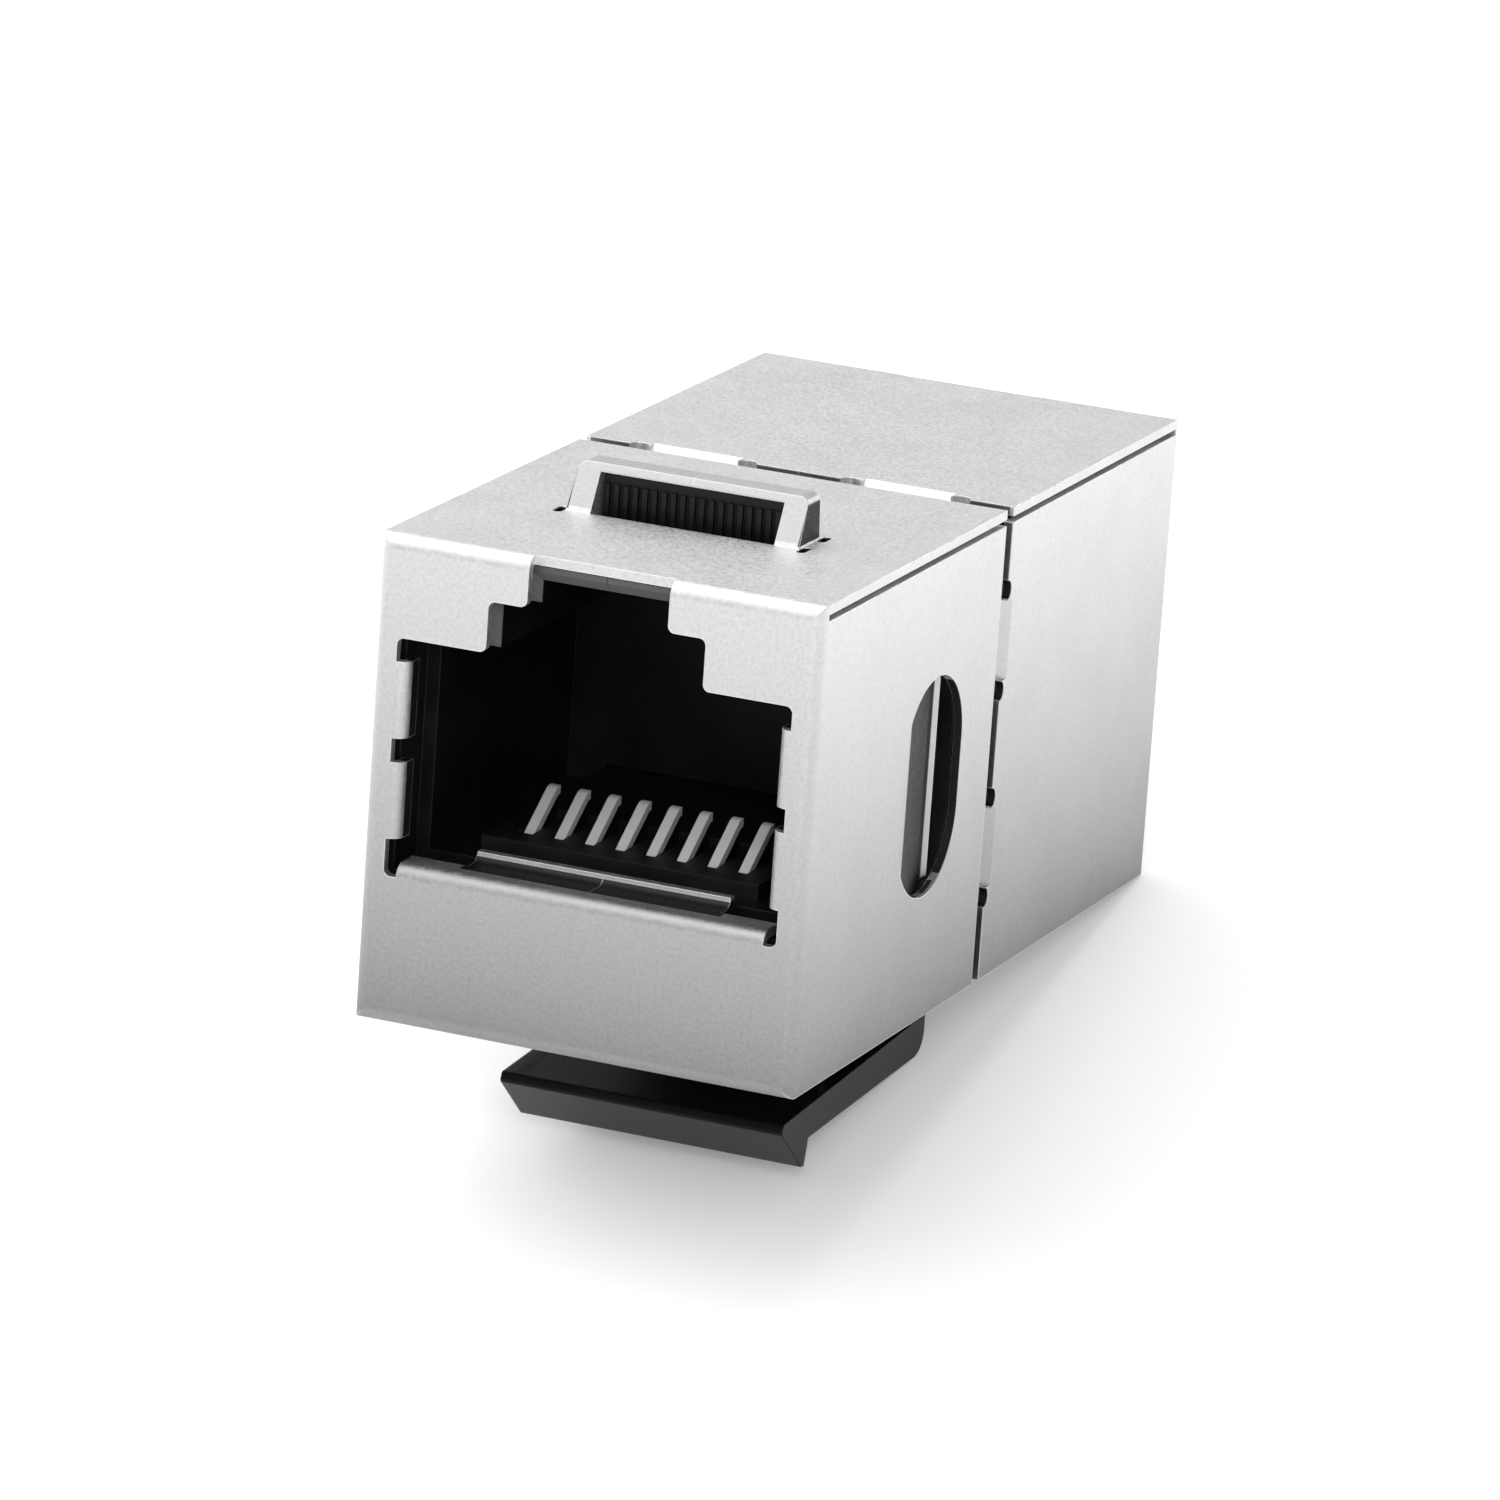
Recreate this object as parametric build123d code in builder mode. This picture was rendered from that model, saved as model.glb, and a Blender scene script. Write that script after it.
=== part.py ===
from build123d import *
import os

# A shielded feed-through keystone module: two plug sockets back to back in black mouldings,
# wrapped in two folded sheet-metal shields that meet at mid-length, with a formed lug on
# the roof and a sprung plastic latch under the floor.
# The origin is the centre of the front face, +Y runs into the body and +Z is up.

# Body
body_width = 14.5
body_height = 15.3
body_length = 30.0

# Folded shields
sheet = 0.3
bend_radius = 0.45
corner_gap = 0.2
seam_gap = 0.55
fit = 0.05

# Socket mouth, as cut in the shields
sill_height = 5.1
mouth_margin = 1.2
main_drop = 3.15
step_half = 3.55
step_drop = 1.55
notch_half = 2.3
mouth_radius = 0.22

# Lips folded in around the mouth
lip_bend = 0.42
lip_reach = 0.8
lip_height = 2.4
lip_relief = 0.75
sill_reach = 1.15
tongue_half = 4.2
tongue_reach = 2.1
tongue_curl = 0.31

# Joggled tabs that tie the rear shield into the front one
tab_reach = 1.3
tab_ramp = 0.45
tab_relief = 0.32
roof_tab_width = 3.05
roof_tab_offset = 3.6
side_tab_width = 2.6
side_tab_offset = 3.35

# Lug formed out of the front shield's roof
lug_front = 6.1
lug_length = 1.6
lug_height = 1.45
lug_inner_half = 3.05
lug_leg = 0.75
lug_lean = 0.08
lug_set_back = 0.75
lug_bar = 0.25
lug_round = 0.3
lug_relief = 0.3
lug_relief_length = 0.75

# Side windows of the front shield, each with a grounding spring pressed in from its front edge
window_start = 7.5
window_length = 4.75
window_height = 7.0
window_drop = 0.1
window_recess = 0.6
window_bar = 0.4
spring_length = 3.4
spring_depth = 0.6
spring_bend = 0.3
spring_return = 0.25

# Jack housings
housing_front = 0.6
mouth_chamfer = 0.3
notch_roof = 0.85
cavity_side = 0.1
rear_wall = 0.25
lock_wall = 1.5
lock_half = 3.35
lock_length = 7.0
neck_length = 1.0
neck_step = 0.45

# Plastic block of the front housing that fills the lug
lug_block_setback = 0.85
lug_rib_count = 19
lug_rib_width = 0.16
lug_rib_proud = 0.15

# Contact carriers
carrier_rise = 0.5
carrier_height = 1.5
carrier_half = 4.6
carrier_flange = 0.4
carrier_flange_height = 0.5
carrier_front = 2.95
wire_room = 1.55
slot_front = 3.9
slot_length = 3.0
slot_width = 0.48

# Contacts
contact_count = 8
contact_pitch = 1.02
contact_width = 0.33
contact_thick = 0.28
contact_bend = 0.3
contact_depth_below_sill = 0.25
contact_root = 3.5
contact_tip_depth = 5.85
contact_tip_rise = 1.42
contact_curl = 0.2
row_step = 1.27
crank_length = 0.5
tail_reach = 0.5

# Circuit board
board_thick = 1.6
hole_radius = 0.27

# Latch
latch_half = 4.75
latch_front = 5.9
land_top = 2.8
land_height = 0.27
land_lean = 0.11
nose_run = 1.8
nose_drop = 4.6
nose_flat = 0.22
hook_run = 0.45
arm_drop = 3.75
arm_thick = 1.15
arm_rise = 0.4
heel_round = 0.75
knee_round = 0.35
root_setback = 0.5
foot_length = 3.2
foot_thick = 1.05
latch_round = 0.12

# Levels and places that follow from those sizes
half_width = body_width / 2
roof = body_height / 2
floor = -body_height / 2
middle = body_length / 2
shield_length = middle - seam_gap / 2
sill = floor + sill_height
main_half = half_width - mouth_margin
main_top = roof - main_drop
step_top = roof - step_drop
main_height = main_top - sill
lip_offset = (lip_height + lip_relief) / 2
lip_middle = (main_top + sill) / 2

housing_half = half_width - sheet - fit
housing_roof = roof - sheet - fit
housing_floor = floor + sheet + fit
housing_height = housing_roof - housing_floor
housing_middle = (housing_roof + housing_floor) / 2
housing_rear = middle - board_thick / 2
window_end = window_start + window_length
cavity_half = main_half - cavity_side
notch_top = roof - notch_roof

carrier_top = sill + carrier_rise
carrier_floor = carrier_top - carrier_height
carrier_rear = housing_rear - wire_room
cavity_depth = carrier_rear - rear_wall
run_level = sill - contact_depth_below_sill
comb_half = (contact_count - 1) * contact_pitch / 2

board_half = housing_half - neck_step
board_height = housing_height - 2 * neck_step
lug_half = lug_inner_half + lug_leg
window_middle = housing_middle - window_drop
arm_end = middle + board_thick / 2 + root_setback + arm_thick

# The two ends of the body. Each jack is drawn on its own end face, seen from outside,
# so the rear jack is the front one turned half a turn about the vertical.
front_end = Plane.XZ
rear_end = Plane(origin=(0, body_length, 0), x_dir=(-1, 0, 0), z_dir=(0, 1, 0))


def deep(end, depth):
    """The plane parallel to an end face, a given depth inside the body."""
    return end.offset(-depth)


def side_view(end, across=0):
    """A plane seen from the side: depth from the end face runs right, height runs up."""
    return Plane(origin=end.origin, x_dir=-end.z_dir, z_dir=end.x_dir).offset(across)


def plan_view(end, height):
    """A plane seen from above: x runs right and depth from the end face runs up."""
    return Plane(origin=end.origin, x_dir=end.x_dir, z_dir=(0, 0, 1)).offset(height)


def folded_box(end):
    """One shield's blank, folded into a box that is open towards the seam."""
    with BuildSketch(end) as profile:
        Rectangle(body_width, body_height)
    extrude(profile.sketch, amount=-shield_length)
    outward = Axis(end.origin, end.z_dir)
    fillet(faces().sort_by(outward)[-1].edges(), radius=bend_radius)
    offset(amount=-sheet, openings=faces().sort_by(outward)[0])
    # The roof flap runs over the side flaps, and the side flaps run past the floor flap.
    with BuildSketch(deep(end, bend_radius)) as profile:
        with Locations((0, roof - sheet - corner_gap / 2)):
            with GridLocations(body_width - sheet, 0, 2, 1):
                Rectangle(2 * sheet, corner_gap)
        with Locations((0, floor + sheet / 2)):
            with GridLocations(body_width - 2 * sheet - corner_gap, 0, 2, 1):
                Rectangle(corner_gap, 2 * sheet)
    extrude(profile.sketch, amount=-shield_length, mode=Mode.SUBTRACT)


def socket_mouth(end):
    """Cut the stepped mouth for plug, lever and tongue in a shield's face, and fold its lips."""
    with BuildSketch(end) as mouth:
        with Locations((0, (sill + main_top - lip_bend) / 2)):
            Rectangle(2 * (main_half + lip_bend), main_height + lip_bend)
        with Locations((0, (sill + step_top) / 2)):
            Rectangle(2 * step_half, step_top - sill)
        with Locations((0, (sill + roof + sheet) / 2)):
            Rectangle(2 * notch_half, roof + sheet - sill)
        fillet(mouth.vertices(), radius=mouth_radius)
    extrude(mouth.sketch, amount=-bend_radius, mode=Mode.SUBTRACT)
    across = end.x_dir
    up = Vector(0, 0, 1)
    for side in (-1, 1):
        for level in (-1, 1):
            height = lip_middle + level * lip_offset
            folded_lip(end, (side * main_half, height, 0), across * side, lip_height, lip_reach)
    folded_lip(end, (0, sill, 0), -up, 2 * main_half, sill_reach)
    tongue(end)


def folded_lip(end, edge, outward, length, reach):
    """A strip of the face folded in through a right angle along one edge of the mouth."""
    inward = -end.z_dir
    start = end.from_local_coords(edge)
    with BuildSketch(Plane(origin=start, x_dir=outward, z_dir=outward.cross(inward))) as profile:
        with BuildLine():
            Line((lip_bend + sheet, 0), (lip_bend, 0))
            CenterArc((lip_bend, lip_bend), lip_bend, 180, 90)
            Polyline((0, lip_bend), (0, reach), (sheet, reach), (sheet, lip_bend))
            CenterArc((lip_bend, lip_bend), lip_bend - sheet, 180, 90)
            Polyline((lip_bend, sheet), (lip_bend + sheet, sheet), (lip_bend + sheet, 0))
        make_face()
    extrude(profile.sketch, amount=length / 2, both=True)


def tongue(end):
    """The earthing tongue folded in from the sill, with its end turned up."""
    bend_depth = tongue_reach - sheet - tongue_curl
    folded_lip(end, (0, sill, 0), Vector(0, 0, -1), 2 * tongue_half, bend_depth)
    with BuildSketch(side_view(end)) as profile:
        with BuildLine():
            centre = (bend_depth, sill + tongue_curl)
            inner = CenterArc(centre, tongue_curl, 270, 90)
            outer = CenterArc(centre, tongue_curl + sheet, 270, 90)
            Line(inner @ 0, outer @ 0)
            Line(inner @ 1, outer @ 1)
        make_face()
    extrude(profile.sketch, amount=tongue_half, both=True)


def joggled_tab(end, place, outward, width):
    """A tab on the seam edge of the rear shield, stepped in to pass under the front shield."""
    along = -end.z_dir
    inward = -outward
    edge = end.from_local_coords(place) + along * shield_length
    plane = Plane(origin=edge, x_dir=along, z_dir=along.cross(inward))
    step = sheet + fit
    with BuildSketch(plane) as profile:
        with Locations((0, sheet / 2)):
            Rectangle(2 * tab_ramp, 2 * sheet)
    extrude(profile.sketch, amount=width / 2, both=True, mode=Mode.SUBTRACT)
    with BuildSketch(plane) as profile:
        with BuildLine():
            Polyline(
                (-tab_ramp, 0), (0, step), (tab_reach, step), (tab_reach, step + sheet),
                (-sheet / 2, step + sheet), (-tab_ramp - sheet / 2, sheet), (-tab_ramp - sheet / 2, 0),
                close=True,
            )
        make_face()
    extrude(profile.sketch, amount=width / 2, both=True)
    # Half-round reliefs let the tab be stepped without tearing the flap beside it.
    with BuildSketch(Plane(origin=edge, x_dir=plane.z_dir, z_dir=outward)) as profile:
        with GridLocations(width + 2 * tab_relief, 0, 2, 1):
            Circle(tab_relief)
    extrude(profile.sketch, amount=2 * sheet, both=True, mode=Mode.SUBTRACT)


def seam_tabs(end):
    """All the tabs round the seam edge: two on each flap."""
    across = end.x_dir
    up = Vector(0, 0, 1)
    for level in (-1, 1):
        for side in (-1, 1):
            joggled_tab(end, (side * roof_tab_offset, level * roof, 0), up * level, roof_tab_width)
            joggled_tab(end, (side * half_width, level * side_tab_offset, 0), across * side, side_tab_width)


def roof_lug(end):
    """The lug: a bridge raised from the roof flap, open to the front and the back."""
    base = roof - sheet
    top = roof + lug_height
    with BuildSketch(plan_view(end, base)) as profile:
        with Locations((0, lug_front + lug_length / 2)):
            Rectangle(2 * lug_inner_half, lug_length)
        with Locations((0, lug_front + lug_length / 2)):
            with GridLocations(2 * (lug_half + lug_lean) + lug_relief, lug_length, 2, 2):
                SlotOverall(lug_relief_length, lug_relief, rotation=90)
    extrude(profile.sketch, amount=sheet, mode=Mode.SUBTRACT)
    with BuildSketch(deep(end, lug_front)) as profile:
        with BuildLine():
            Polyline(
                (-lug_half - lug_lean, base), (-lug_half, top), (lug_half, top),
                (lug_half + lug_lean, base), close=True,
            )
        bridge = make_face()
        fillet(bridge.vertices().group_by(Axis.Y)[-1], radius=lug_round)
        with Locations((0, (base + top - lug_bar) / 2)):
            Rectangle(2 * lug_inner_half, top - lug_bar - base, mode=Mode.SUBTRACT)
    extrude(profile.sketch, amount=-lug_length)
    # The bridge's front edges lean back from the roof.
    with BuildSketch(side_view(end)) as profile:
        with BuildLine():
            Polyline((lug_front, roof), (lug_front, top), (lug_front + lug_set_back, top), close=True)
        make_face()
    extrude(profile.sketch, amount=lug_half + lug_lean, both=True, mode=Mode.SUBTRACT)


def window_outline(end, side, from_centre, spread=0):
    """The round-ended outline of a side window, on a plane parallel to the side flap."""
    with BuildSketch(side_view(end, side * from_centre)) as outline:
        with Locations((window_start + window_length / 2, window_middle)):
            SlotOverall(window_height + 2 * spread, window_length + 2 * spread, rotation=90)
    return outline


def grounding_spring(end, side):
    """The spring of a side window: a strip bent in from the window's front edge, with a return."""
    surface = half_width - sheet / 2
    bottom = surface - spring_depth
    tip = window_start + spring_length
    with BuildSketch(plan_view(end, window_middle)) as strip:
        with BuildLine():
            path = FilletPolyline(
                (side * surface, window_start - spring_length),
                (side * surface, window_start),
                (side * bottom, tip),
                (side * (bottom + spring_return), tip + spring_return),
                radius=spring_bend,
            )
        trace(path, line_width=sheet)
    extrude(strip.sketch, amount=window_height / 2, both=True)
    outline = window_outline(end, side, cavity_half)
    extrude(outline.sketch, amount=side * (half_width - cavity_half + sheet), mode=Mode.INTERSECT)


def jack_block(end):
    """A housing's outside: a block with a neck that stands against the circuit board."""
    block_length = housing_rear - neck_length - housing_front
    with BuildSketch(deep(end, housing_front)) as profile:
        with Locations((0, housing_middle)):
            Rectangle(2 * housing_half, housing_height)
    extrude(profile.sketch, amount=-block_length)
    with BuildSketch(deep(end, housing_front + block_length)) as profile:
        with Locations((0, housing_middle)):
            Rectangle(2 * board_half, board_height)
    extrude(profile.sketch, amount=-neck_length)


def cavity_outline(spread):
    """The stepped section of a plug cavity, drawn into the sketch that is open."""
    with Locations((0, (sill + main_top) / 2)):
        Rectangle(2 * (cavity_half + spread), main_height + 2 * spread)
    with Locations((0, (sill + step_top) / 2)):
        Rectangle(2 * (step_half - cavity_side + spread), step_top - sill + 2 * spread)
    with Locations((0, (sill + notch_top) / 2)):
        Rectangle(2 * (notch_half - cavity_side + spread), notch_top - sill + 2 * spread)


def jack_cavity(end):
    """Hollow a housing: plug cavity, lever shoulders, lip recess, carrier rails and wire room."""
    with BuildSketch(deep(end, housing_front)) as profile:
        cavity_outline(0)
    extrude(profile.sketch, amount=-(cavity_depth - housing_front), mode=Mode.SUBTRACT)
    with BuildSketch(deep(end, housing_front)) as profile:
        cavity_outline(mouth_chamfer)
    extrude(profile.sketch, amount=-mouth_chamfer, taper=45, mode=Mode.SUBTRACT)
    # Behind the mouth the lever's channel widens, which leaves two shoulders to lock it.
    with BuildSketch(deep(end, housing_front + lock_wall)) as profile:
        with Locations((0, (main_top + notch_top) / 2)):
            Rectangle(2 * lock_half, notch_top - main_top)
    extrude(profile.sketch, amount=-lock_length, mode=Mode.SUBTRACT)
    # The shield's folded lips lie in a shallow recess round the mouth.
    recess_half = main_half + sheet + fit
    recess_floor = sill - sheet - fit
    with BuildSketch(deep(end, housing_front)) as profile:
        with Locations((0, (recess_floor + main_top) / 2)):
            Rectangle(2 * recess_half, main_top - recess_floor)
    extrude(profile.sketch, amount=-(tongue_reach + fit - housing_front), mode=Mode.SUBTRACT)
    # Rails hold the contact carrier, which slides in from behind.
    with BuildSketch(deep(end, carrier_front - fit)) as profile:
        with Locations((0, (carrier_floor + carrier_top) / 2)):
            Rectangle(2 * (carrier_half + fit), carrier_height + 2 * fit)
        with Locations((0, carrier_floor + carrier_flange_height / 2)):
            Rectangle(2 * (carrier_half + carrier_flange + fit), carrier_flange_height + 2 * fit)
    extrude(profile.sketch, amount=-(housing_rear - carrier_front + fit), mode=Mode.SUBTRACT)
    # Room behind the carrier for the contacts to step into their two rows.
    chamber_top = run_level + row_step + 2 * contact_thick
    with BuildSketch(deep(end, carrier_rear)) as profile:
        with Locations((0, (carrier_floor + chamber_top) / 2)):
            Rectangle(2 * (carrier_half + fit), chamber_top - carrier_floor)
    extrude(profile.sketch, amount=-(housing_rear - carrier_rear), mode=Mode.SUBTRACT)


def housing_window(end, side):
    """A recess in a housing's wall behind a window, with a rib across it."""
    recess = window_outline(end, side, housing_half - window_recess, fit)
    extrude(recess.sketch, amount=side * (window_recess + sheet), mode=Mode.SUBTRACT)
    bar_middle = window_end - 1.5 * window_bar
    with BuildSketch(side_view(end, side * (housing_half - window_recess))) as bar:
        with Locations((bar_middle, window_middle)):
            Rectangle(window_bar, window_height - window_length)
    extrude(bar.sketch, amount=side * window_recess / 2)


def lug_block(end):
    """The ribbed block of the front housing that stands up inside the lug."""
    half = lug_inner_half - fit
    start = lug_front + lug_block_setback
    length = lug_length - lug_block_setback - 2 * fit
    height = roof + lug_height - lug_bar - fit - housing_roof
    with BuildSketch(plan_view(end, housing_roof)) as profile:
        with Locations((0, start + length / 2)):
            Rectangle(2 * half, length)
    extrude(profile.sketch, amount=height)
    pitch = 2 * half / lug_rib_count
    with BuildSketch(plan_view(end, housing_roof)) as profile:
        with Locations((0, start)):
            with GridLocations(pitch, 0, lug_rib_count, 1):
                Rectangle(lug_rib_width, 2 * lug_rib_proud)
    extrude(profile.sketch, amount=height - 2 * lug_rib_proud)


def contact_carrier(end):
    """The moulding that carries the eight contacts, with a slot and a tunnel for each."""
    with BuildSketch(deep(end, carrier_front)) as profile:
        with Locations((0, (carrier_floor + carrier_top) / 2)):
            Rectangle(2 * carrier_half, carrier_height)
        with Locations((0, carrier_floor + carrier_flange_height / 2)):
            Rectangle(2 * (carrier_half + carrier_flange), carrier_flange_height)
    extrude(profile.sketch, amount=-(carrier_rear - carrier_front))
    tunnel_low = run_level - contact_thick / 2 - fit
    tunnel_high = run_level + contact_thick / 2 + fit
    slot_rear = slot_front + slot_length
    for i in range(contact_count):
        with BuildSketch(side_view(end, -comb_half + i * contact_pitch)) as profile:
            with BuildLine():
                Polyline(
                    (slot_front, tunnel_low), (carrier_rear, tunnel_low), (carrier_rear, tunnel_high),
                    (slot_rear, tunnel_high), (slot_rear, carrier_top), (slot_front, carrier_top),
                    close=True,
                )
            make_face()
        extrude(profile.sketch, amount=slot_width / 2, both=True, mode=Mode.SUBTRACT)


def contact(end, number):
    """One contact: soldered tail, run under the carrier, tight bend and sloping spring end."""
    tip = (contact_tip_depth, sill + contact_tip_rise)
    tail = housing_rear + board_thick + tail_reach
    raised = run_level + row_step * (number % 2)
    crank = carrier_rear + contact_thick
    spring = [(crank, run_level), (contact_root, run_level), tip, (tip[0] + contact_curl, tip[1])]
    with BuildSketch(side_view(end, -comb_half + number * contact_pitch)) as profile:
        with BuildLine():
            Polyline((tail, raised), (crank + crank_length, raised), (crank, run_level))
            FilletPolyline(*spring, radius=contact_bend)
        trace(line_width=contact_thick)
    extrude(profile.sketch, amount=contact_width / 2, both=True)


# Grounding springs, one for each side window
springs = []
for side in (-1, 1):
    with BuildPart() as spring:
        grounding_spring(front_end, side)
    springs.append(spring.part)

# Front shield
with BuildPart() as front_shield:
    folded_box(front_end)
    socket_mouth(front_end)
    roof_lug(front_end)
    for side in (-1, 1):
        window = window_outline(front_end, side, half_width - 2 * sheet)
        extrude(window.sketch, amount=side * 3 * sheet, mode=Mode.SUBTRACT)
    add(springs)

# Rear shield
with BuildPart() as rear_shield:
    folded_box(rear_end)
    socket_mouth(rear_end)
    seam_tabs(rear_end)
    # Slot for the latch's root.
    with BuildSketch(Plane.XY.offset(floor - sheet)):
        with Locations((0, arm_end - arm_thick / 2)):
            Rectangle(2 * (latch_half + 2 * fit), arm_thick + 4 * fit)
    extrude(amount=3 * sheet, mode=Mode.SUBTRACT)

# Front housing
with BuildPart() as front_housing:
    jack_block(front_end)
    jack_cavity(front_end)
    for side in (-1, 1):
        housing_window(front_end, side)
    lug_block(front_end)

# Rear housing
with BuildPart() as rear_housing:
    jack_block(rear_end)
    jack_cavity(rear_end)
    # Pocket for the latch's foot.
    foot_start = arm_end - arm_thick - 2 * fit
    pocket_end = arm_end + foot_length + fit
    with BuildSketch(Plane.XY.offset(housing_floor)):
        with Locations((0, (foot_start + pocket_end) / 2)):
            Rectangle(2 * (latch_half + fit), pocket_end - foot_start)
    extrude(amount=foot_thick + fit, mode=Mode.SUBTRACT)

# Contact carriers
with BuildPart() as front_carrier:
    contact_carrier(front_end)
with BuildPart() as rear_carrier:
    contact_carrier(rear_end)

# Circuit board, upright between the two housings, with two rows of holes for the tails
with BuildPart() as circuit_board:
    with BuildSketch(deep(front_end, housing_rear)):
        with Locations((0, housing_middle)):
            Rectangle(2 * board_half, board_height)
        with Locations((0, run_level + row_step / 2)):
            with GridLocations(contact_pitch, row_step, contact_count, 2):
                Circle(hole_radius, mode=Mode.SUBTRACT)
    extrude(amount=-board_thick)

# Latch: one strip seen from the side, from its hooked nose along the arm to the root and foot
with BuildPart() as keystone_latch:
    with BuildSketch(side_view(front_end)) as strip:
        land = (latch_front + land_lean, floor - land_top)
        chin = (latch_front, floor - land_top - land_height)
        nose = (latch_front + nose_run, floor - nose_drop)
        heel = (arm_end, floor - arm_drop + arm_rise)
        knee = (arm_end - arm_thick, floor - arm_drop + arm_thick + arm_rise)
        with BuildLine():
            Polyline(
                land,
                knee,
                (arm_end - arm_thick, housing_floor + foot_thick),
                (arm_end + foot_length, housing_floor + foot_thick),
                (arm_end + foot_length, housing_floor),
                (arm_end, housing_floor),
                heel,
                (latch_front + nose_run + hook_run, floor - arm_drop),
                (latch_front + nose_run + nose_flat, floor - nose_drop),
                nose,
                chin,
                close=True,
            )
        make_face()
        for corner, round_off in (
            (land, latch_round), (chin, latch_round), (nose, latch_round),
            (heel, heel_round), (knee, knee_round),
        ):
            fillet(strip.vertices().sort_by_distance(corner)[0], radius=round_off)
    extrude(amount=latch_half, both=True)

pieces = {
    "front_shield": front_shield.part,
    "rear_shield": rear_shield.part,
    "front_housing": front_housing.part,
    "rear_housing": rear_housing.part,
    "front_carrier": front_carrier.part,
    "rear_carrier": rear_carrier.part,
    "circuit_board": circuit_board.part,
    "keystone_latch": keystone_latch.part,
}

# Contacts, one node each
for name, end in (("front_contact", front_end), ("rear_contact", rear_end)):
    for number in range(contact_count):
        with BuildPart() as spring_contact:
            contact(end, number)
        pieces[f"{name}_{number + 1}"] = spring_contact.part

os.makedirs("parts", exist_ok=True)
for name, piece in pieces.items():
    piece.label = name
    export_step(piece, f"parts/{name}.step")
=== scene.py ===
import math
import bmesh
import bpy
from mathutils import Matrix, Vector


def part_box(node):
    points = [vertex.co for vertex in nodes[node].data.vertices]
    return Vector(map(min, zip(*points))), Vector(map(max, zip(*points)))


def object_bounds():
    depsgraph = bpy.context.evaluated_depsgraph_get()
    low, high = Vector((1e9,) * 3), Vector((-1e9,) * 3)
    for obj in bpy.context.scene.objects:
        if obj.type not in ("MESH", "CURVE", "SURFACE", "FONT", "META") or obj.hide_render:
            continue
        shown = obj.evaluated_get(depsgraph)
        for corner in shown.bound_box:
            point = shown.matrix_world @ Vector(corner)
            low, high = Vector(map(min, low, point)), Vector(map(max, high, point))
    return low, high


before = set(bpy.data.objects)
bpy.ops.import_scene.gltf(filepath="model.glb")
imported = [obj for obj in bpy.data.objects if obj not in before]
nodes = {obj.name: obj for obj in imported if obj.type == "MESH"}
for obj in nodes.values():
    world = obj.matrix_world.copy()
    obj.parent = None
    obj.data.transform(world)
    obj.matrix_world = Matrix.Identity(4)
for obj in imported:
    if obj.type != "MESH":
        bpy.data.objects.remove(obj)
cad_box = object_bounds()

# Sizes are in metres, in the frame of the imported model: +Y runs into the module, +Z is up.
# Colours are linear, and lamp powers are in watts.
millimetre = 0.001
white = (1.0, 1.0, 1.0, 1.0)

# The photograph's camera
camera_place = (0.109388, -0.257345, 0.079339)
camera_azimuth = math.radians(22.04)
camera_elevation = math.radians(15.38)
camera_roll = math.radians(4.02)
camera_lens = 232.67
sensor_width = 36.0

# The floor passes under the latch's nose and the rear bottom edge, so the module leans back on them
floor_radius = 0.2
floor_segments = 96
floor_colour = (0.93, 0.93, 0.93, 1.0)
floor_glow = 0.23
floor_roughness = 0.9
floor_fibre_size = 0.4 * millimetre
floor_fibre_detail = 3.0
floor_fibre_share = 0.05

# Even light from all around
sky_strength = 0.47

# Softboxes: a large one high on the left, a small one in front. Azimuth 0 is in front of the
# module, and 90 degrees is at its right.
key_softbox = {
    "power": 2.04,
    "size": 0.70,
    "distance": 0.40,
    "azimuth": math.radians(-78),
    "elevation": math.radians(60),
}
front_softbox = {
    "power": 0.28,
    "size": 0.08,
    "distance": 0.34,
    "azimuth": math.radians(24),
    "elevation": math.radians(24),
}

# Strips: narrow beams that light the upper part of the front and of the right side. Each aims at
# a point above the middle of the module.
strip_width = 0.12
strip_height = 0.03
strip_distance = 0.25
strip_spread = math.radians(18)
front_strip = {
    "power": 0.0006,
    "azimuth": math.radians(-22),
    "elevation": math.radians(-3),
    "aim": 0.028,
}
side_strip = {
    "power": 0.0024,
    "azimuth": math.radians(158),
    "elevation": math.radians(16),
    "aim": 0.022,
}

# The band in which most values of a noise lie
noise_low = 0.3
noise_high = 0.7

# How far the rounded normal turns from the flat one, as a cosine, where an edge starts and ends
edge_full_cosine = 0.80
edge_start_cosine = 0.985
edge_samples = 6

# Numbers of the sockets that carry colours or vectors on nodes with several sockets of one name
mix_colour_inputs = (6, 7)
mix_colour_output = 2
range_vector_inputs = (7, 8)

# Steel sheet
steel_colour = (0.738, 0.738, 0.735, 1.0)
# Painted shade: darker tones that the sheet fades to towards the bottom
steel_painted_shade_colour = (0.240, 0.240, 0.239, 1.0)
steel_painted_shade_pale_colour = (0.375, 0.375, 0.374, 1.0)
# Painted shade, nearly black, for the boxes below
steel_painted_dark_shade_colour = (0.045, 0.045, 0.045, 1.0)
# Pale grain specks, and the painted highlight on edges
steel_speck_and_highlight_colour = (0.950, 0.950, 0.947, 1.0)
steel_shade_fade = 0.7
steel_edge_radius = 0.07 * millimetre
steel_cloud_size = 2.2 * millimetre
steel_grain_size = 0.12 * millimetre
steel_noise_detail = 4.0
steel_grain_share = 0.60
steel_roughness = (0.50, 0.56)
steel_grain_roughness = 0.08
steel_grain_depth = 0.010 * millimetre
steel_grain_strength = 0.8
roof_level = 7.65 * millimetre
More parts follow.
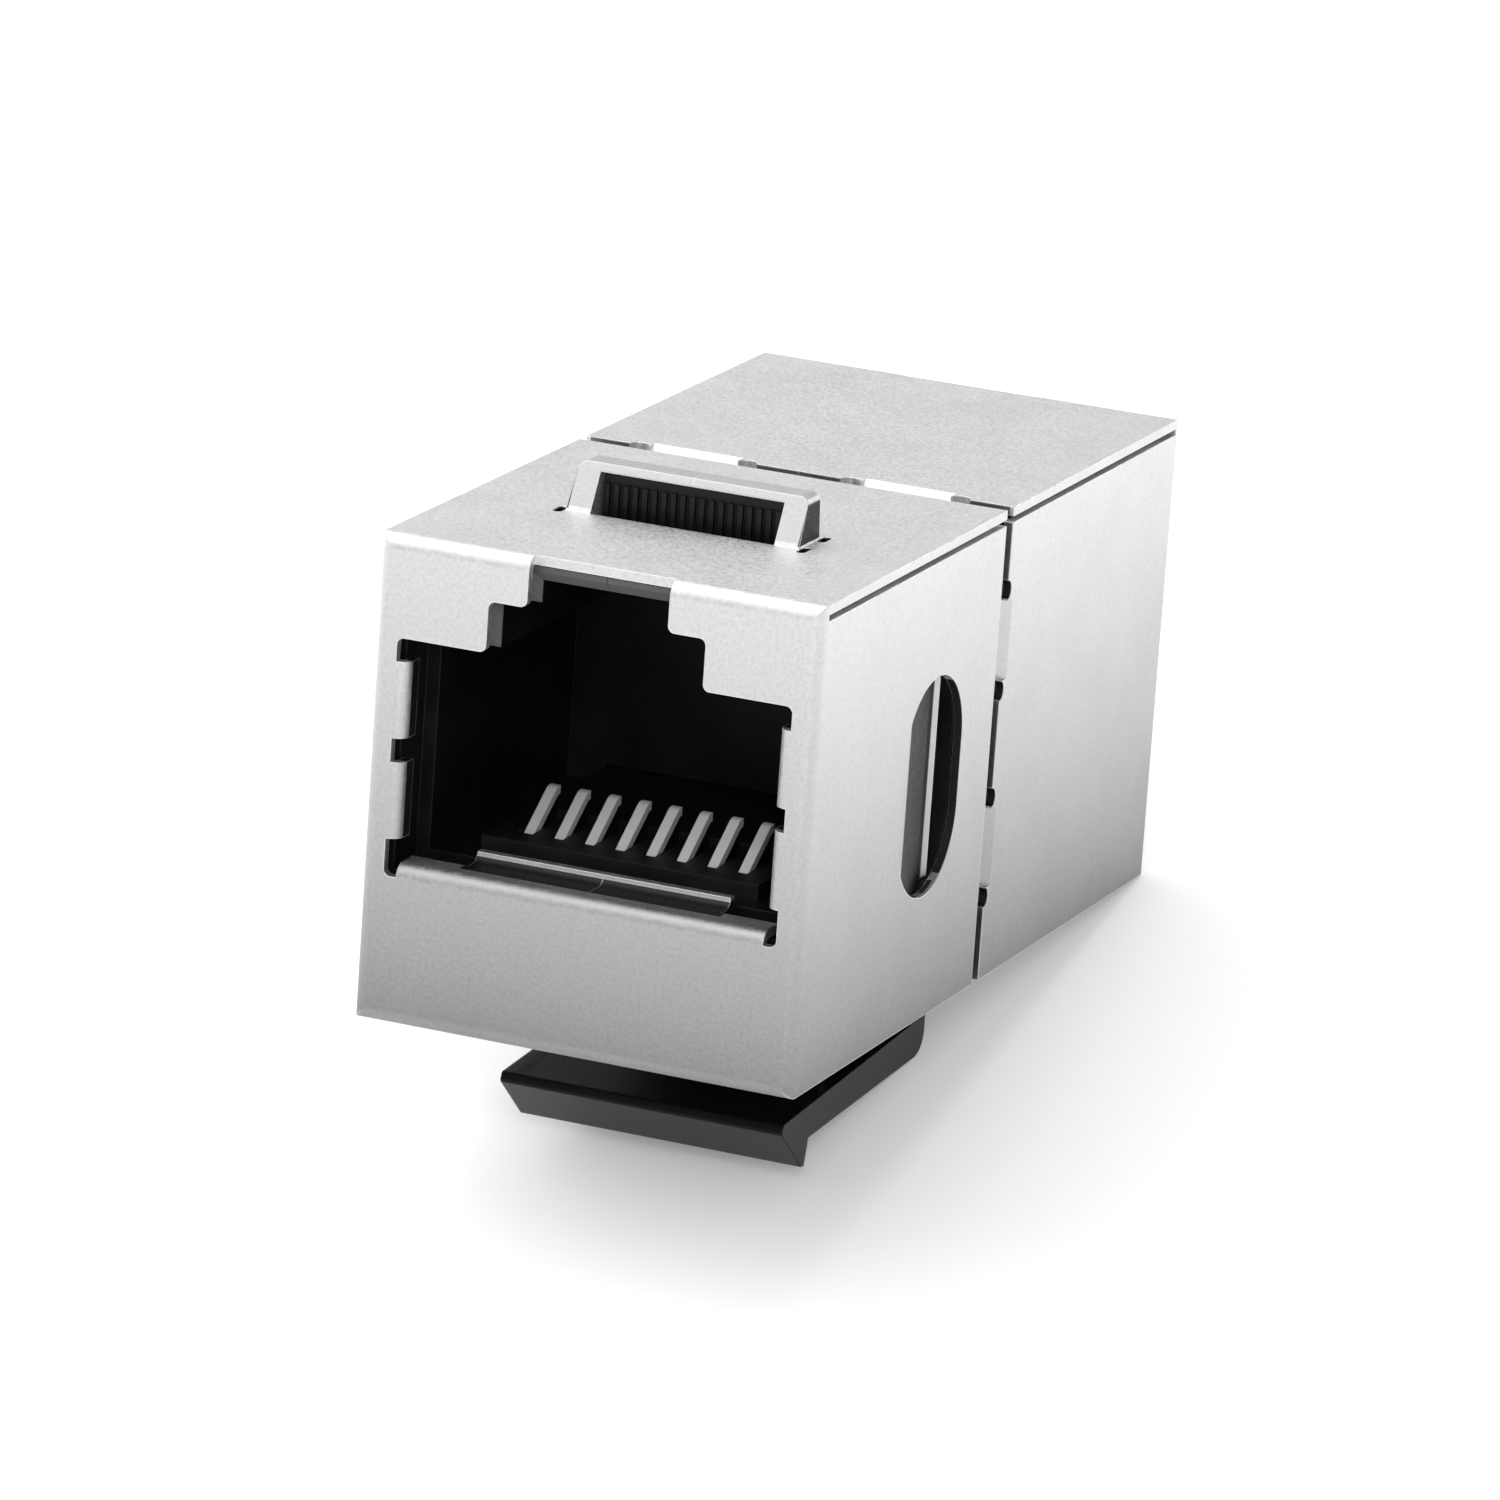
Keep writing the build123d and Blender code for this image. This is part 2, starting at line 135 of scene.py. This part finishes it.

# Boxes in which shade is painted on the sheet. Each has three ranges in millimetres: distance from
# the middle plane, depth from the nearer end, and height.
# Painted shade, nearly black: springs, rear edges of the windows, sides of the lug and its relief
# slots, inside of the tongue and lips, and the cut edges along the seam and its reliefs.
painted_shade_regions = [
    ((6.00, 7.12), (7.60, 10.90), (-3.60, 3.40)),
    ((6.00, 7.21), (11.20, 12.40), (-3.60, 3.40)),
    ((3.79, 3.95), (6.00, 7.80), (7.70, 9.20)),
    ((3.80, 4.40), (5.50, 8.30), (7.34, 7.61)),
    ((0.00, 4.30), (0.75, 2.20), (-3.00, -2.38)),
    ((6.00, 6.42), (0.34, 0.90), (-2.60, 4.60)),
    ((6.96, 7.40), (14.71, 15.10), (-7.70, 7.20)),
    ((0.00, 7.10), (14.71, 15.10), (7.36, 7.80)),
]
relief_levels = (-4.97, -1.73, 1.73, 4.97)
relief_reach = 0.31
for level in relief_levels:
    painted_shade_regions.append(
        ((6.96, 7.22), (14.38, 14.72), (level - relief_reach, level + relief_reach))
    )
# Painted shade, lighter: the front and top of the lug
lug_shade_region = ((0.00, 3.79), (6.00, 7.90), (7.78, 9.20))
lug_shade = 0.22
region_blur = 0.02

# Moulded plastic
# Paler plastic for random mottling, and for the painted highlight on edges
moulding_wear_and_highlight_colour = (0.0090, 0.0090, 0.0093, 1.0)
housing_moulding = {
    "colour": (0.0030, 0.0030, 0.0032, 1.0),
    "wear_and_highlight": moulding_wear_and_highlight_colour,
    "gloss": 0.3,
    "roughness": 0.42,
    "edge_radius": 0.05 * millimetre,
    "grain_size": 0.06 * millimetre,
    "grain_depth": 0.006 * millimetre,
}
carrier_moulding = {
    "colour": (0.0040, 0.0040, 0.0042, 1.0),
    "wear_and_highlight": moulding_wear_and_highlight_colour,
    "gloss": 0.3,
    "roughness": 0.5,
    "edge_radius": 0.04 * millimetre,
    "grain_size": 0.06 * millimetre,
    "grain_depth": 0.006 * millimetre,
}
latch_moulding = {
    "colour": (0.0040, 0.0040, 0.0042, 1.0),
    "wear_and_highlight": (0.0100, 0.0100, 0.0103, 1.0),
    "gloss": 0.12,
    "roughness": 0.14,
    "edge_radius": 0.08 * millimetre,
    "grain_size": 0.12 * millimetre,
    "grain_depth": 0.003 * millimetre,
}
moulding_cloud_size = 1.6 * millimetre
moulding_noise_detail = 3.0
moulding_cloud_share = 0.5
moulding_smoother = 0.04
moulding_rougher = 0.05
moulding_grain_strength = 0.3
# Painted highlight: the moulding's rim in the notch of the mouth is pale, in ranges like the ones
# above
rim_highlight_region = ((0.00, 4.00), (0.55, 0.92), (3.50, 7.30))
moulding_rim_highlight_colour = (0.1100, 0.1100, 0.1120, 1.0)

# Contact wire
contact_colour = (0.900, 0.890, 0.870, 1.0)
contact_worn_colour = (0.760, 0.750, 0.730, 1.0)
contact_metallic = 0.2
contact_edge_radius = 0.04 * millimetre
contact_drawn_size = 0.05 * millimetre
contact_drawn_detail = 2.0
contact_drawn_stretch = (1.0, 0.12, 0.12)
contact_drawn_depth = 0.003 * millimetre
contact_drawn_strength = 0.4
contact_patch_size = 0.7 * millimetre
contact_patch_detail = 3.0
contact_patch_share = 0.6
contact_roughness = (0.30, 0.42)

# Circuit board
mask_colour = (0.0015, 0.0060, 0.0030, 1.0)
mask_thin_colour = (0.0030, 0.0120, 0.0055, 1.0)
mask_gloss = 0.2
mask_roughness = (0.40, 0.50)
weave_size = 0.25 * millimetre
weave_detail = 1.0
weave_stretch = 4.0
weave_depth = 0.01 * millimetre
weave_strength = 0.3


class Finish:
    """One procedural material, with short calls for the nodes that it is made of."""

    def __init__(self, name):
        self.material = bpy.data.materials.new(name)
        self.material.use_nodes = True
        self.tree = self.material.node_tree
        self.shader = self.tree.nodes["Principled BSDF"]
        self.place = self.add("ShaderNodeTexCoord").outputs["Object"]
        self.measured = None

    def add(self, kind):
        return self.tree.nodes.new(kind)

    def join(self, source, target):
        self.tree.links.new(source, target)

    def set(self, **values):
        """Fixed values of the shader, by the names of its sockets."""
        for label, value in values.items():
            self.shader.inputs[label.replace("_", " ")].default_value = value

    def feed(self, label, source):
        """Joins a varying value to a socket of the shader."""
        self.join(source, self.shader.inputs[label])

    def noise(self, feature, detail, stretch=(1.0, 1.0, 1.0)):
        """Noise whose features are about as large as `feature`."""
        mapping = self.add("ShaderNodeMapping")
        mapping.inputs["Scale"].default_value = stretch
        self.join(self.place, mapping.inputs["Vector"])
        noise = self.add("ShaderNodeTexNoise")
        noise.inputs["Scale"].default_value = 1.0 / feature
        noise.inputs["Detail"].default_value = detail
        self.join(mapping.outputs["Vector"], noise.inputs["Vector"])
        return noise.outputs["Fac"]

    def spread(self, value, low, high, start=noise_low, end=noise_high):
        """Maps a value between start and end to the range low to high."""
        node = self.add("ShaderNodeMapRange")
        node.inputs["From Min"].default_value = start
        node.inputs["From Max"].default_value = end
        node.inputs["To Min"].default_value = low
        node.inputs["To Max"].default_value = high
        self.join(value, node.inputs["Value"])
        return node.outputs["Result"]

    def blend(self, factor, first, second):
        """Mixes two colours, each a fixed colour or a socket."""
        node = self.add("ShaderNodeMix")
        node.data_type = "RGBA"
        self.join(factor, node.inputs["Factor"])
        for index, colour in zip(mix_colour_inputs, (first, second)):
            if isinstance(colour, tuple):
                node.inputs[index].default_value = colour
            else:
                self.join(colour, node.inputs[index])
        return node.outputs[mix_colour_output]

    def combine(self, operation, first, second):
        """Joins two values, each a number or a socket, by an arithmetic step."""
        node = self.add("ShaderNodeMath")
        node.operation = operation
        for socket, value in zip(node.inputs, (first, second)):
            if isinstance(value, (int, float)):
                socket.default_value = value
            else:
                self.join(value, socket)
        return node.outputs["Value"]

    def split(self, vector):
        """The three values of a vector."""
        node = self.add("ShaderNodeSeparateXYZ")
        self.join(vector, node.inputs["Vector"])
        return node.outputs

    def rounded_edges(self, radius):
        """A normal that rounds sharp edges off, and a mask that is 1 on them, for painted edge
        highlights.
        """
        bevel = self.add("ShaderNodeBevel")
        bevel.samples = edge_samples
        bevel.inputs["Radius"].default_value = radius
        flat = self.add("ShaderNodeNewGeometry")
        dot = self.add("ShaderNodeVectorMath")
        dot.operation = "DOT_PRODUCT"
        self.join(bevel.outputs["Normal"], dot.inputs[0])
        self.join(flat.outputs["Normal"], dot.inputs[1])
        mask = self.spread(
            dot.outputs["Value"], 1.0, 0.0, start=edge_full_cosine, end=edge_start_cosine
        )
        return bevel.outputs["Normal"], mask

    def measures(self):
        """Distance from the middle plane, depth from the nearer end, and height, as one vector."""
        if self.measured is None:
            place = self.split(self.place)
            from_middle = self.combine("SUBTRACT", place["Y"], body_middle().y)
            from_middle = self.combine("ABSOLUTE", from_middle, 0.0)
            joined = self.add("ShaderNodeCombineXYZ")
            self.join(self.combine("ABSOLUTE", place["X"], 0.0), joined.inputs["X"])
            depth = self.combine("SUBTRACT", body_middle().y, from_middle)
            self.join(depth, joined.inputs["Y"])
            self.join(place["Z"], joined.inputs["Z"])
            self.measured = joined.outputs["Vector"]
        return self.measured

    def beyond(self, corner):
        """For each measure, 0 short of the corner and 1 past it."""
        node = self.add("ShaderNodeMapRange")
        node.data_type = "FLOAT_VECTOR"
        self.join(self.measures(), node.inputs["Vector"])
        for index, offset in zip(range_vector_inputs, (0.0, region_blur)):
            node.inputs[index].default_value = [
                (value + offset) * millimetre for value in corner
            ]
        return node.outputs["Vector"]

    def region(self, ranges):
        """1 inside a box given by its ranges of distance, depth and height in millimetres."""
        low, high = zip(*ranges)
        between = self.add("ShaderNodeVectorMath")
        between.operation = "SUBTRACT"
        self.join(self.beyond(low), between.inputs[0])
        self.join(self.beyond(high), between.inputs[1])
        inside = self.split(between.outputs["Vector"])
        flat = self.combine("MULTIPLY", inside["X"], inside["Y"])
        return self.combine("MULTIPLY", flat, inside["Z"])

    def relief(self, height, depth, strength, normal=None):
        """A normal that shows a height, on top of another normal if one is given."""
        bump = self.add("ShaderNodeBump")
        bump.inputs["Strength"].default_value = strength
        bump.inputs["Distance"].default_value = depth
        self.join(height, bump.inputs["Height"])
        if normal is not None:
            self.join(normal, bump.inputs["Normal"])
        return bump.outputs["Normal"]


def steel_finish():
    """Satin sheet: fine grain, with painted shade that darkens it low down and in listed places,
    and painted highlights on its edges.
    """
    finish = Finish("satin_sheet_painted_shade")
    finish.set(Metallic=1.0)
    rounded, edge = finish.rounded_edges(steel_edge_radius)
    clouds = finish.noise(steel_cloud_size, steel_noise_detail)
    grain = finish.noise(steel_grain_size, steel_noise_detail)

    # Painted shade: the sheet's colour darkens from the roof towards the bottom
    height = finish.split(finish.place)["Z"]
    height = finish.spread(height, 0.0, 1.0, start=-roof_level, end=roof_level)
    height = finish.combine("POWER", height, steel_shade_fade)
    speck = finish.spread(grain, 0.0, steel_grain_share)
    tone = finish.blend(speck, steel_colour, steel_speck_and_highlight_colour)
    shaded_tone = finish.blend(speck, steel_painted_shade_colour, steel_painted_shade_pale_colour)
    tone = finish.blend(height, shaded_tone, tone)

    # Painted shade: nearly black in the listed boxes, somewhat darker on the front and top of the
    # lug
    painted_shade = finish.combine("MULTIPLY", finish.region(lug_shade_region), lug_shade)
    for ranges in painted_shade_regions:
        painted_shade = finish.combine("MAXIMUM", painted_shade, finish.region(ranges))
    tone = finish.blend(painted_shade, tone, steel_painted_dark_shade_colour)
    # Painted highlight: the edges take the pale colour
    finish.feed("Base Color", finish.blend(edge, tone, steel_speck_and_highlight_colour))

    matt = finish.spread(clouds, *steel_roughness)
    speckle = finish.spread(grain, -steel_grain_roughness, steel_grain_roughness)
    finish.feed("Roughness", finish.combine("ADD", matt, speckle))
    surface = finish.relief(grain, steel_grain_depth, steel_grain_strength, normal=rounded)
    finish.feed("Normal", surface)
    return finish.material


def moulding_finish(name, colour, wear_and_highlight, gloss, roughness, edge_radius, grain_size, grain_depth):
    """Moulded plastic: eroded grain, with painted highlights that make its edges and the rim in the
    mouth's notch paler.
    """
    finish = Finish(name)
    finish.set(Specular_IOR_Level=gloss)
    rounded, edge = finish.rounded_edges(edge_radius)
    grain = finish.noise(grain_size, moulding_noise_detail)
    clouds = finish.noise(moulding_cloud_size, moulding_noise_detail)
    tone = finish.blend(finish.spread(clouds, 0.0, moulding_cloud_share), colour, wear_and_highlight)
    # Painted highlight: a pale rim in the mouth's notch
    tone = finish.blend(finish.region(rim_highlight_region), tone, moulding_rim_highlight_colour)
    # Painted highlight: the edges take the paler colour
    finish.feed("Base Color", finish.blend(edge, tone, wear_and_highlight))
    matt = finish.spread(clouds, roughness - moulding_smoother, roughness + moulding_rougher)
    finish.feed("Roughness", matt)
    surface = finish.relief(grain, grain_depth, moulding_grain_strength, normal=rounded)
    finish.feed("Normal", surface)
    return finish.material


def contact_finish():
    """Plated spring wire: drawn along its length, a little duller in patches."""
    finish = Finish("plated_wire")
    finish.set(Metallic=contact_metallic)
    rounded, edge = finish.rounded_edges(contact_edge_radius)
    drawn = finish.noise(contact_drawn_size, contact_drawn_detail, contact_drawn_stretch)
    patches = finish.noise(contact_patch_size, contact_patch_detail)
    share = finish.spread(patches, 0.0, contact_patch_share)
    tone = finish.blend(share, contact_colour, contact_worn_colour)
    # Painted highlight: the edges take the clean, paler colour
    finish.feed("Base Color", finish.blend(edge, tone, contact_colour))
    finish.feed("Roughness", finish.spread(patches, *contact_roughness))
    surface = finish.relief(drawn, contact_drawn_depth, contact_drawn_strength, normal=rounded)
    finish.feed("Normal", surface)
    return finish.material


def board_finish():
    """Solder mask over glass weave."""
    finish = Finish("solder_mask")
    finish.set(Specular_IOR_Level=mask_gloss)
    across = finish.noise(weave_size, weave_detail, (weave_stretch, 1.0, 1.0))
    upright = finish.noise(weave_size, weave_detail, (1.0, 1.0, weave_stretch))
    weave = finish.combine("MAXIMUM", across, upright)
    tone = finish.blend(finish.spread(weave, 0.0, 1.0), mask_colour, mask_thin_colour)
    finish.feed("Base Color", tone)
    finish.feed("Roughness", finish.spread(weave, *mask_roughness))
    finish.feed("Normal", finish.relief(weave, weave_depth, weave_strength))
    return finish.material


def light_path_mask(finish):
    """1 for rays that show the background: camera, glossy and transmission rays."""
    path = finish.add("ShaderNodeLightPath").outputs
    seen = finish.combine("MAXIMUM", path["Is Camera Ray"], path["Is Glossy Ray"])
    return finish.combine("MAXIMUM", seen, path["Is Transmission Ray"])


def floor_finish():
    """Matt white board, with a faint glow that lifts it to white where it is seen."""
    finish = Finish("matt_board")
    fibres = finish.noise(floor_fibre_size, floor_fibre_detail)
    share = finish.spread(fibres, 0.0, floor_fibre_share)
    finish.feed("Base Color", finish.blend(share, floor_colour, white))
    finish.set(Roughness=floor_roughness, Specular_IOR_Level=0.0, Emission_Color=white)
    glow = finish.combine("MULTIPLY", light_path_mask(finish), floor_glow)
    finish.feed("Emission Strength", glow)
    return finish.material


def floor_plane():
    """A point of the plane that the module leans on, the direction along it, and its normal."""
    rear_low, rear_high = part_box("rear_shield")
    heel = Vector((0.0, rear_high.y, rear_low.z))
    points = [vertex.co for vertex in nodes["keystone_latch"].data.vertices]
    nose = max(points, key=lambda point: (heel.z - point.z) / (heel.y - point.y))
    nose = Vector((0.0, nose.y, nose.z))
    along = (heel - nose).normalized()
    return nose, along, Vector((1.0, 0.0, 0.0)).cross(along)


def place_object(name, data):
    placed = bpy.data.objects.new(name, data)
    bpy.context.scene.collection.objects.link(placed)
    return placed


def add_floor():
    point, along, up = floor_plane()
    side = along.cross(up)
    mesh = bpy.data.meshes.new("floor")
    disc = bmesh.new()
    turn = Matrix((side, along, up)).transposed().to_4x4()
    bmesh.ops.create_circle(
        disc,
        cap_ends=True,
        segments=floor_segments,
        radius=floor_radius,
        matrix=Matrix.Translation(point) @ turn,
    )
    disc.to_mesh(mesh)
    disc.free()
    floor = place_object("floor", mesh)
    mesh.materials.append(floor_finish())


def body_middle():
    return (cad_box[0] + cad_box[1]) / 2


def direction(azimuth, elevation):
    """Unit vector from the module: azimuth 0 is in front, 90 degrees is at its right."""
    return Vector((
        math.sin(azimuth) * math.cos(elevation),
        -math.cos(azimuth) * math.cos(elevation),
        math.sin(elevation),
    ))


def add_softbox(name, power, size, distance, azimuth, elevation):
    lamp = bpy.data.lights.new(name, "AREA")
    lamp.shape = "SQUARE"
    lamp.size = size
    lamp.energy = power
    softbox = place_object(name, lamp)
    towards = direction(azimuth, elevation)
    softbox.location = body_middle() + towards * distance
    softbox.rotation_euler = towards.to_track_quat("Z", "Y").to_euler()


def add_strip(name, power, azimuth, elevation, aim):
    """A strip with a narrow beam, aimed high so that its light fades towards the floor."""
    lamp = bpy.data.lights.new(name, "AREA")
    lamp.shape = "RECTANGLE"
    lamp.size = strip_width
    lamp.size_y = strip_height
    lamp.energy = power
    lamp.spread = strip_spread
    strip = place_object(name, lamp)
    place = body_middle() + direction(azimuth, elevation) * strip_distance
    towards = place - body_middle() - Vector((0.0, 0.0, aim))
    strip.location = place
    strip.rotation_euler = towards.to_track_quat("Z", "Y").to_euler()


def add_sky():
    world = bpy.data.worlds.new("studio")
    bpy.context.scene.world = world
    world.use_nodes = True
    background = world.node_tree.nodes["Background"]
    background.inputs["Color"].default_value = white
    background.inputs["Strength"].default_value = sky_strength


def add_camera():
    data = bpy.data.cameras.new("photo_camera")
    data.sensor_fit = "HORIZONTAL"
    data.sensor_width = sensor_width
    data.lens = camera_lens
    data.clip_start = millimetre
    camera = place_object("photo_camera", data)
    swing = Matrix.Rotation(camera_azimuth, 4, "Z")
    tip = Matrix.Rotation(math.pi / 2 - camera_elevation, 4, "X")
    roll = Matrix.Rotation(camera_roll, 4, "Z")
    camera.matrix_world = Matrix.Translation(camera_place) @ swing @ tip @ roll
    bpy.context.scene.camera = camera


def dress(finishes):
    """Gives each node the finish of its family."""
    for name, node in nodes.items():
        family = next(key for key in finishes if key in name)
        node.data.materials.clear()
        node.data.materials.append(finishes[family])


dress({
    "shield": steel_finish(),
    "housing": moulding_finish("housing_moulding", **housing_moulding),
    "carrier": moulding_finish("carrier_moulding", **carrier_moulding),
    "latch": moulding_finish("latch_moulding", **latch_moulding),
    "contact": contact_finish(),
    "board": board_finish(),
})
add_floor()
add_sky()
add_softbox("key_softbox", **key_softbox)
add_softbox("front_softbox", **front_softbox)
add_strip("front_strip", **front_strip)
add_strip("side_strip", **side_strip)
add_camera()
bpy.context.scene.view_settings.view_transform = "Standard"
